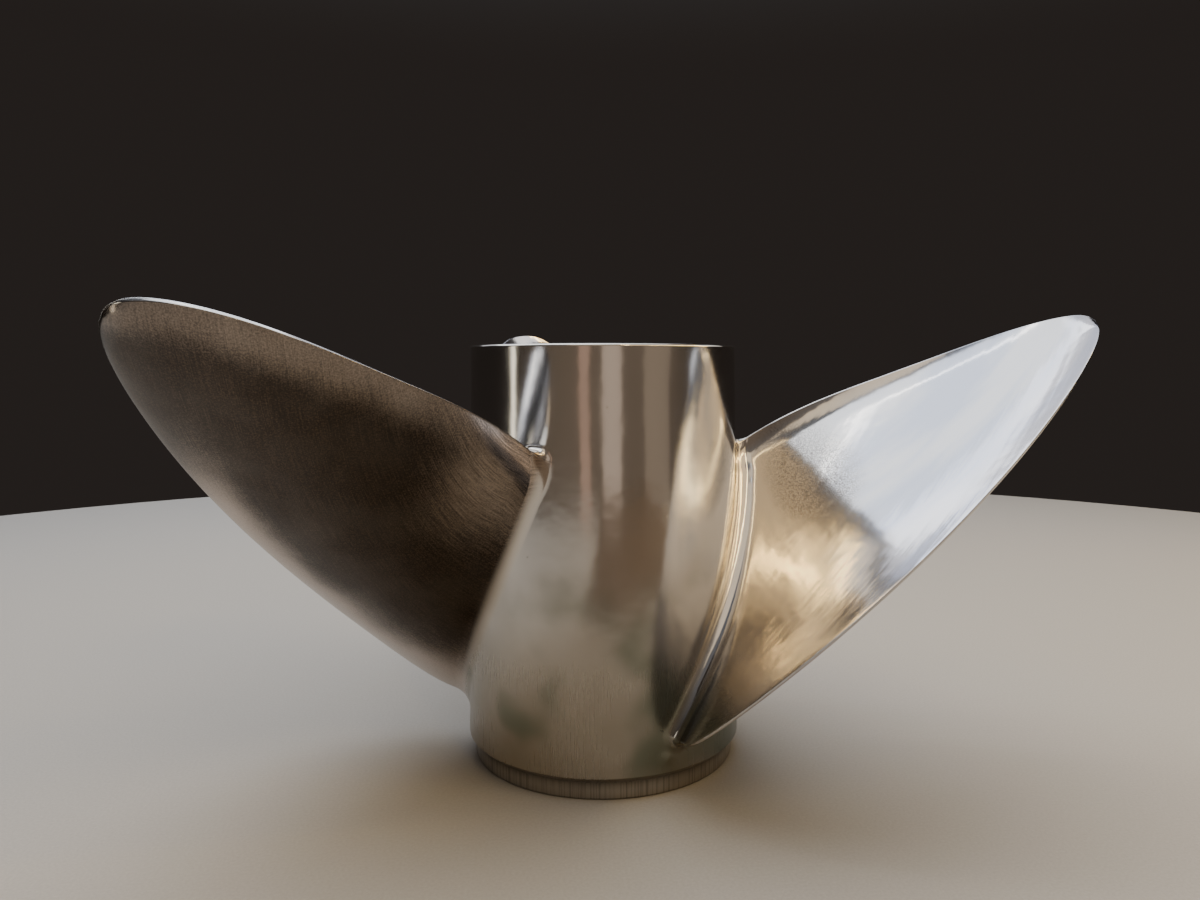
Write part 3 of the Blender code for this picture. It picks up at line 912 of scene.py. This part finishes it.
SKIN_CLOUDS = 38
SHADE_PATCH_CLOUDS = 24
BRUSH_MARKS = (1900, 1900, 52)
CROSS_MARKS = (75, 75, 1500)
FOOT_STREAKS = (1000, 1000, 22)
CAST_PEBBLES = 620
WOBBLES = 48
RIPPLES = 150

WOBBLE_RELIEF = 0.00021
RIPPLE_RELIEF = 0.000022
BRUSH_RELIEF = 0.0000035
CROSS_RELIEF = 0.000004
FOOT_RELIEF = 0.00002
PEBBLE_RELIEF = 0.00010


def steel_skin(place):
    """Where a point lies on the casting, and the colour, roughness and height there."""
    height = part_of(place, "Z")
    radius = from_shaft(place)
    taper = (BARREL_FORWARD_RADIUS - BARREL_AFT_RADIUS) / (BARREL_LENGTH - FOOT_BAND_HEIGHT)
    stand_off = radius + height * taper - (BARREL_FORWARD_RADIUS + FOOT_BAND_HEIGHT * taper)
    on_barrel = ease(stand_off, *STAND_OFF)
    clouds = cloud(place, SKIN_CLOUDS, 3)
    patches = cloud(place, SHADE_PATCH_CLOUDS, 2)
    brush = drawn_out(place, BRUSH_MARKS, 3)
    brushed_and_shaded = on_barrel * ease(height + 0.05 * clouds, *BRUSHED_HEIGHTS)
    foot = ease(height, FOOT_BAND_HEIGHT + FOOT_FADE, FOOT_BAND_HEIGHT) * on_barrel
    inside = ease(radius, *BORE_RADII) * ease(height, *BORE_HEIGHTS)
    step_shade = foot * ease(height, FOOT_BAND_HEIGHT - STEP_SHADE_FADE, FOOT_BAND_HEIGHT)
    streaks = drawn_out(place, FOOT_STREAKS, 4)

    # Painted shade: the lower, brushed part of the barrel is darkened in its base colour.
    colour = mixed(brushed_and_shaded * (0.65 + 0.5 * clouds), BRIGHT_STEEL, PAINTED_SHADE_STEEL)
    # Painted shade: darker greenish patches on the lower barrel.
    colour = mixed(brushed_and_shaded * ease(patches, 0.50, 0.66) * 0.85, colour, SHADE_PATCH_GREEN)
    colour = mixed(foot * (0.55 + 0.6 * brush), colour, FOOT_STEEL)
    # Painted reflection: dark upright streaks on the foot band.
    colour = mixed(foot * ease(streaks, 0.44, 0.72) * 0.5, colour, GRIME_AND_PAINTED_SHADE)
    # Painted shade: the top of the foot band, under the step, is darkened.
    colour = mixed(step_shade * 0.45, colour, GRIME_AND_PAINTED_SHADE)
    colour = mixed(inside * (0.75 + 0.4 * clouds), colour, CAST_SKIN)

    roughness = 0.085 + 0.10 * clouds + brushed_and_shaded * (0.10 + 0.10 * brush)
    roughness = roughness + foot * 0.14 + inside * 0.24

    wobble = cloud(place, WOBBLES, 2.5) * WOBBLE_RELIEF + cloud(place, RIPPLES, 1.5) * RIPPLE_RELIEF
    cross_marks = drawn_out(place, CROSS_MARKS, 3)
    fine = brush * (brushed_and_shaded + 0.10) * BRUSH_RELIEF + cross_marks * brushed_and_shaded * CROSS_RELIEF
    fine = fine + streaks * foot * FOOT_RELIEF
    pebbles = cloud(place, CAST_PEBBLES, 3) * inside * PEBBLE_RELIEF
    return (radius, on_barrel, clouds), (colour, roughness, wobble + fine + pebbles)


# %% Finish of the barrel
PIT_CELLS = 210.0
PIT_EDGE = (0.085, 0.050)
PIT_CLOUDS = 75
PIT_DEPTH = 0.00012


def make_barrel_steel():
    """Polished steel for the barrel, with a few casting pits."""
    material, place, shader = new_finish("polished_barrel_steel")
    colour, roughness, height = steel_skin(place)[1]
    cells = place.node("ShaderNodeTexVoronoi", {}, {"Vector": place, "Scale": PIT_CELLS}, out="Distance")
    pits = ease(cells, *PIT_EDGE) * ease(cloud(place, PIT_CLOUDS, 2), 0.60, 0.66)
    colour = mixed(pits * 0.8, colour, GRIME_AND_PAINTED_SHADE)
    set_finish(shader, colour, roughness, height - pits * PIT_DEPTH)
    return material


barrel.data.materials.append(make_barrel_steel())
print("barrel finished with", barrel.data.materials[0].name)

# %% [markdown]
# ## The two faces of a blade
# The face that pushes water is wavy, with a painted reflection: its colour is lightened
# and tinted blue, more so further out, and it has a hazy, speckled patch that the wheel
# passed over too lightly. The other face has painted shade: its colour is darkened to a
# brown that stands for the shaded floor it mirrors, broken by fine marks that run out
# along the blade. Near both edges and at the root's after side a painted tan sheen takes
# its place. The points know which face they are on, how far they lie from both edges and
# how far out, so each mask below takes a line or two.

# %% Finish of the blades
# Painted shade: the two brown colours darken the suction face in its base colour.
PAINTED_SHADE_BROWN = (0.013, 0.0065, 0.003, 1.0)
PAINTED_SHADE_PALE = (0.078, 0.050, 0.030, 1.0)
# Painted sheen: a lighter tan where the painted shade gives way.
PAINTED_SHEEN_TAN = (0.57, 0.47, 0.39, 1.0)
# Painted reflection: a bright cool steel and a blue steel lighten the pressure face.
PAINTED_HIGHLIGHT_STEEL = (0.70, 0.69, 0.70, 1.0)
PAINTED_BLUE_REFLECTION = (0.53, 0.555, 0.635, 1.0)
HAZE = (0.15, 0.135, 0.128, 1.0)
HAZE_FROM_NOSE = 0.114
HAZE_RADIUS = 0.091
HAZE_LENGTH = 0.029
HAZE_WIDTH = 0.015
HAZE_LEAN = (0.9, 0.45)
HAZE_EDGE = (3.0, 1.3)
HAZE_SPECKLE = 2600

SUCTION_SIDE = (-0.1, -0.95)
PRESSURE_SIDE = (-0.6, 0.8)
NEAR_TIP = (0.150, 0.178)
NEAR_ROOT = (0.115, 0.090)
NOSE_SHEEN_FADE = (0.060, 0.018)
TAIL_SHEEN_FADE = (0.026, 0.008)
TAIL_SHEEN_RADII = (0.085, 0.120)
ROOT_SHEEN_RADII = (0.112, 0.078)
ROOT_SHEEN_CHORD = (0.075, 0.130)
REFLECTION_RADII = (0.085, 0.115)

MARKS_TURN = 38.0
MARKS = (2300, 85, 9)
SCRATCHES = (5200, 150, 9)
SPECKLE = 1700
FLOWS_TURN = -24
FLOWS = (44, 17, 9)
SWELLS = 34
SWEEPS_TURN = 52
SWEEPS = (120, 34, 9)

SUCTION_MARK_RELIEF = 0.0000022
SPECKLE_RELIEF = 0.0000008
SCRATCH_RELIEF = 0.0000012
MARK_RELIEF = 0.0000020
HAZE_DEPTH = 0.000003
SWELL_RELIEF = 0.00024
SWEEP_RELIEF = 0.00010


def make_blade_steel():
    """Polished steel for the blades: a face with a painted reflection, a face with painted shade and a
    painted sheen near its edges.
    """
    material, place, shader = new_finish("polished_blade_steel")
    (radius, on_barrel, clouds), (colour, roughness, height) = steel_skin(place)
    lay = place.node("ShaderNodeAttribute", {"attribute_name": "lay"}, out="Vector")
    from_nose = part_of(lay, "X")
    side = part_of(lay, "Z")
    to_tail = place.node("ShaderNodeAttribute", {"attribute_name": "to_tail"}, out="Fac")
    suction = ease(side, *SUCTION_SIDE) * (1 - on_barrel)
    pressure = ease(side, *PRESSURE_SIDE) * (1 - on_barrel)
    marks = swept(lay, MARKS_TURN, MARKS, 3)
    scratches = swept(lay, MARKS_TURN, SCRATCHES, 2)
    speckle = cloud(place, SPECKLE, 2)

    # Painted sheen: tan lightening of the painted shade near the nose, along the tail and at the root.
    nose_sheen = 0.75 * ease(from_nose + 0.020 * clouds, *NOSE_SHEEN_FADE) * (1 - ease(radius, *NEAR_TIP))
    tail_sheen = 0.36 * ease(to_tail + 0.010 * clouds, *TAIL_SHEEN_FADE) * ease(radius, *TAIL_SHEEN_RADII)
    root_sheen = 0.50 * ease(radius, *ROOT_SHEEN_RADII) * ease(from_nose, *ROOT_SHEEN_CHORD)
    painted_sheen = nose_sheen + tail_sheen + root_sheen * (0.4 + 1.2 * marks)
    # Painted shade: the suction face is darkened to brown, paler in speckles and marks.
    shade_and_sheen = mixed(ease(0.8 * speckle + 0.6 * marks, 0.55, 1.00), PAINTED_SHADE_BROWN, PAINTED_SHADE_PALE)
    shade_and_sheen = mixed(ease(painted_sheen + 0.40 * speckle + 0.20 * marks, 0.31, 1.25), shade_and_sheen, PAINTED_SHEEN_TAN)
    colour = mixed(suction * (0.86 + 0.14 * clouds), colour, shade_and_sheen)
    flows = swept(lay, FLOWS_TURN, FLOWS, 4)
    # Painted reflection: the pressure face is lightened and tinted blue in its base colour, more so
    # further out.
    painted_reflection = mixed(ease(flows, 0.38, 0.66), PAINTED_HIGHLIGHT_STEEL, PAINTED_BLUE_REFLECTION)
    colour = mixed(pressure * (0.25 + 0.7 * ease(radius, *REFLECTION_RADII)), colour, painted_reflection)

    off_nose = from_nose - HAZE_FROM_NOSE
    off_span = radius - HAZE_RADIUS
    ahead, aside = HAZE_LEAN
    along = (ahead * off_nose - aside * off_span) * (1 / HAZE_LENGTH)
    over = (aside * off_nose + ahead * off_span) * (1 / HAZE_WIDTH)
    reach = along * along + over * over + 2.0 * clouds
    haze = pressure * ease(reach, *HAZE_EDGE) * ease(cloud(place, HAZE_SPECKLE, 2), 0.40, 0.60)
    colour = mixed(haze * 0.80, colour, HAZE)

    roughness = roughness + suction * (0.01 + 0.07 * marks) + haze * 0.12
    near_root = ease(radius, *NEAR_ROOT)
    roughness = roughness + pressure * (0.05 * scratches + 0.05 * flows - 0.035 - 0.055 * near_root)

    height = height + suction * (marks * SUCTION_MARK_RELIEF + speckle * SPECKLE_RELIEF)
    height = height + pressure * (scratches * SCRATCH_RELIEF + marks * MARK_RELIEF) - haze * HAZE_DEPTH
    sweeps = swept(lay, SWEEPS_TURN, SWEEPS, 2)
    height = height + pressure * (cloud(place, SWELLS, 3) * SWELL_RELIEF + sweeps * SWEEP_RELIEF)
    set_finish(shader, colour, roughness, height)
    return material


blade_steel = make_blade_steel()
for blade in blades:
    blade.data.materials.append(blade_steel)
print("blades finished with", blade_steel.name)

# %% [markdown]
# ## Cast skin, rubber and bronze
# The passages keep the skin that the ceramic mould gave them, which is dull and finely
# pebbled. Rubber is nearly black, but never quite: it bleeds a grey bloom and holds
# dust. The sleeve is turned on a lathe, so its marks are rings round the shaft, and
# oily hands have tarnished it.

# %% Finish of the hub and the ribs
CAST_PALE = (0.36, 0.345, 0.33, 1.0)
CAST_DARK = (0.22, 0.205, 0.19, 1.0)
CAST_CLOUDS = 60
CAST_SWELL_RELIEF = 0.00012


def make_cast_steel():
    """Dull, pebbled skin of the casting, darker in its hollows."""
    material, place, shader = new_finish("cast_steel_skin")
    clouds = cloud(place, CAST_CLOUDS, 3)
    pebbles = cloud(place, CAST_PEBBLES, 3)
    colour = mixed(clouds * 0.7 + ease(pebbles, 0.6, 0.4) * 0.3, CAST_PALE, CAST_DARK)
    height = pebbles * PEBBLE_RELIEF + clouds * CAST_SWELL_RELIEF
    set_finish(shader, colour, 0.33 + 0.16 * clouds, height)
    return material


cast_steel = make_cast_steel()
for piece in [inner_hub, *ribs]:
    piece.data.materials.append(cast_steel)
print("hub and ribs finished with", cast_steel.name)

# %% Finish of the bushing
RUBBER_BLACK = (0.018, 0.018, 0.019, 1.0)
RUBBER_BLOOM = (0.075, 0.074, 0.072, 1.0)
BLOOM_CLOUDS = 90
RUBBER_GRAIN = 1400
GRAIN_RELIEF = 0.00006
BLOOM_RELIEF = 0.0002
RUBBER_SHINE = 0.35


def make_rubber():
    """Near-black rubber with a grey bloom and fine moulded grain."""
    material, place, shader = new_finish("bushing_black_rubber")
    bloom = cloud(place, BLOOM_CLOUDS, 4)
    grain = cloud(place, RUBBER_GRAIN, 2)
    colour = mixed(ease(bloom + 0.3 * grain, 0.50, 0.80), RUBBER_BLACK, RUBBER_BLOOM)
    height = grain * GRAIN_RELIEF + bloom * BLOOM_RELIEF
    set_finish(shader, colour, 0.52 + 0.25 * bloom, height, metallic=0.0)
    shader.inputs["Specular IOR Level"].default_value = RUBBER_SHINE
    return material


bushing.data.materials.append(make_rubber())
print("bushing finished with", bushing.data.materials[0].name)

# %% Finish of the sleeve
BRIGHT_BRONZE = (0.62, 0.42, 0.22, 1.0)
TARNISH = (0.27, 0.17, 0.095, 1.0)
TARNISH_CLOUDS = 110
LATHE_RINGS_OUT = 14000
LATHE_RINGS_UP = 9000
RING_RELIEF = 0.0000025
TARNISH_RELIEF = 0.00002


def make_bronze():
    """Turned bronze with fine rings and brown tarnish."""
    material, place, shader = new_finish("sleeve_turned_bronze")
    clouds = cloud(place, TARNISH_CLOUDS, 3)
    turning = from_shaft(place) * LATHE_RINGS_OUT + part_of(place, "Z") * LATHE_RINGS_UP
    rings = (turning.math("SINE", turning) + 1) * 0.5
    colour = mixed(ease(clouds, 0.40, 0.70), BRIGHT_BRONZE, TARNISH)
    height = rings * RING_RELIEF + clouds * TARNISH_RELIEF
    set_finish(shader, colour, 0.20 + 0.22 * clouds + 0.05 * rings, height)
    return material


sleeve.data.materials.append(make_bronze())
print("sleeve finished with", sleeve.data.materials[0].name)

# %% [markdown]
# ## Floor and studio
# Metal has no look of its own. It shows the room, so lighting it means placing what it
# shall mirror. A pale round table gives the lower half of every reflection. A wide soft
# light above makes the pushing face glow, and leaves the floor under the other face in
# shade, which that face mirrors. The barrel looks straight out into the room, so it
# needs upright soft lights around it, or it would be a black pipe. Thin warm tubes high
# on the right put the golden streaks into the blade's root. A brown card just above the
# table keeps the barrel's middle from mirroring too much of it. No camera sees the card.

# %% Table
TABLE_RADIUS = 0.95
TABLE_THICKNESS = 0.05
TABLE_CHAMFER = 0.01
TABLE_RINGS = (0.0005, 0.30)
TABLE_COLUMNS = 96
TABLE_GRAIN = 900
TABLE_DARK = (0.46, 0.435, 0.405, 1.0)
TABLE_PALE = (0.60, 0.575, 0.54, 1.0)


def make_table():
    """A plain pale round table top with a chamfered edge."""
    middle, ring = TABLE_RINGS
    profile = [(middle, 0.0), (ring, 0.0), (TABLE_RADIUS - TABLE_CHAMFER, 0.0)]
    profile += [(TABLE_RADIUS, -TABLE_CHAMFER), (TABLE_RADIUS, -TABLE_THICKNESS)]
    profile += [(middle, -TABLE_THICKNESS)]
    table = turned_piece("table_top", profile, TABLE_COLUMNS)
    material, place, shader = new_finish("pale_table")
    colour = mixed(cloud(place, TABLE_GRAIN, 3), TABLE_DARK, TABLE_PALE)
    colour.into(shader, "Base Color")
    shader.inputs["Roughness"].default_value = 0.85
    shader.inputs["Specular IOR Level"].default_value = 0.2
    table.data.materials.append(material)


make_table()
print("table is", 2 * TABLE_RADIUS, "m across")

# %% Room
ROOM_DARK = (0.022, 0.018, 0.016, 1.0)
ROOM_FRONT = (0.170, 0.132, 0.100, 1.0)
ROOM_CEILING = (0.20, 0.21, 0.23, 1.0)
FRONT_FADE = (0.1, -0.9)
CEILING_FADE = (0.30, 0.95)


def make_room():
    """A dark room, a little lighter behind the camera and towards the ceiling."""
    world = bpy.data.worlds.new("studio_room")
    bpy.context.scene.world = world
    world.use_nodes = True
    way = Flow(world.node_tree).node("ShaderNodeTexCoord", out="Generated")
    colour = mixed(ease(part_of(way, "Y"), *FRONT_FADE), ROOM_DARK, ROOM_FRONT)
    colour = mixed(ease(part_of(way, "Z"), *CEILING_FADE), colour, ROOM_CEILING)
    colour.into(world.node_tree.nodes["Background"], "Color")


make_room()
print("room is", bpy.context.scene.world.name)

# %% Card in front
CARD_CORNERS = ((-0.13, -1.05), (0.60, -1.05), (0.60, -0.30), (-0.13, -0.30))
CARD_HEIGHT = 0.004
CARD_BROWN = (0.15, 0.11, 0.08, 1.0)


def make_card():
    """A brown card in front of the object, which only reflections see."""
    mesh = bpy.data.meshes.new("brown_card")
    mesh.from_pydata([(x, y, CARD_HEIGHT) for x, y in CARD_CORNERS], [], [(0, 1, 2, 3)])
    card = add_object("brown_card", mesh)
    material, _, shader = new_finish("brown_card_paper")
    shader.inputs["Base Color"].default_value = CARD_BROWN
    shader.inputs["Roughness"].default_value = 0.9
    card.data.materials.append(material)
    card.visible_camera = False
    card.visible_shadow = False
    card.visible_diffuse = False


make_card()
print("card lies", CARD_HEIGHT, "m above the table")

# %% Soft lights
OBJECT_MIDDLE = Vector((0.0, 0.0, 0.10))
WATTS_PER_AREA = 4.0


def soft_light(name, way, distance, width, height, brightness, colour):
    """A soft rectangular light that looks at the object from (turn, rise) in degrees."""
    turned, risen = math.radians(way[0]), math.radians(way[1])
    flat = math.cos(risen)
    out = Vector((math.sin(turned) * flat, -math.cos(turned) * flat, math.sin(risen)))
    data = bpy.data.lights.new(name, "AREA")
    data.shape = "RECTANGLE"
    data.size, data.size_y = width, height
    data.energy = WATTS_PER_AREA * width * height * brightness
    data.color = colour
    light = add_object(name, data)
    light.location = OBJECT_MIDDLE + out * distance
    light.rotation_euler = (-out).to_track_quat("-Z", "Y").to_euler()
    light.visible_camera = False
    print("light", name, "at", tuple(round(v, 2) for v in light.location))


soft_light("overhead", (-140, 70), 1.55, 1.9, 2.0, 1.60, (0.91, 0.95, 1.0))
soft_light("back_panel", (-166, 36), 1.55, 1.6, 0.55, 0.85, (0.90, 0.91, 1.0))
soft_light("ceiling_tube", (-107, 66), 1.20, 0.05, 1.10, 4.5, (1.0, 0.95, 0.86))
soft_light("warm_tube", (56, 36), 1.25, 0.70, 0.035, 15.0, (1.0, 0.68, 0.25))
soft_light("upper_panel", (-16, 50), 1.35, 0.80, 0.50, 0.70, (1.0, 0.80, 0.55))
soft_light("second_warm_tube", (18, 50), 1.25, 0.035, 0.50, 12.0, (1.0, 0.76, 0.38))
soft_light("third_warm_tube", (92, 31), 1.25, 0.04, 0.60, 16.0, (1.0, 0.66, 0.20))
soft_light("warm_panel", (38, 42), 1.35, 0.95, 0.75, 0.85, (1.0, 0.72, 0.38))
soft_light("gold_panel", (78, 34), 1.35, 0.70, 0.50, 2.3, (1.0, 0.70, 0.31))
soft_light("right_panel", (108, 34), 1.30, 0.80, 0.40, 1.2, (1.0, 0.97, 0.93))
soft_light("left_strip", (-83, 3), 0.85, 0.06, 0.50, 2.2, (1.0, 0.93, 0.78))
soft_light("front_panel", (2, 4), 1.10, 0.30, 0.60, 0.34, (1.0, 0.81, 0.68))
soft_light("front_red_panel", (-20, 2), 1.10, 0.16, 0.50, 0.26, (1.0, 0.62, 0.48))
soft_light("right_brown_panel", (40, 6), 1.10, 0.45, 0.60, 0.12, (1.0, 0.80, 0.62))
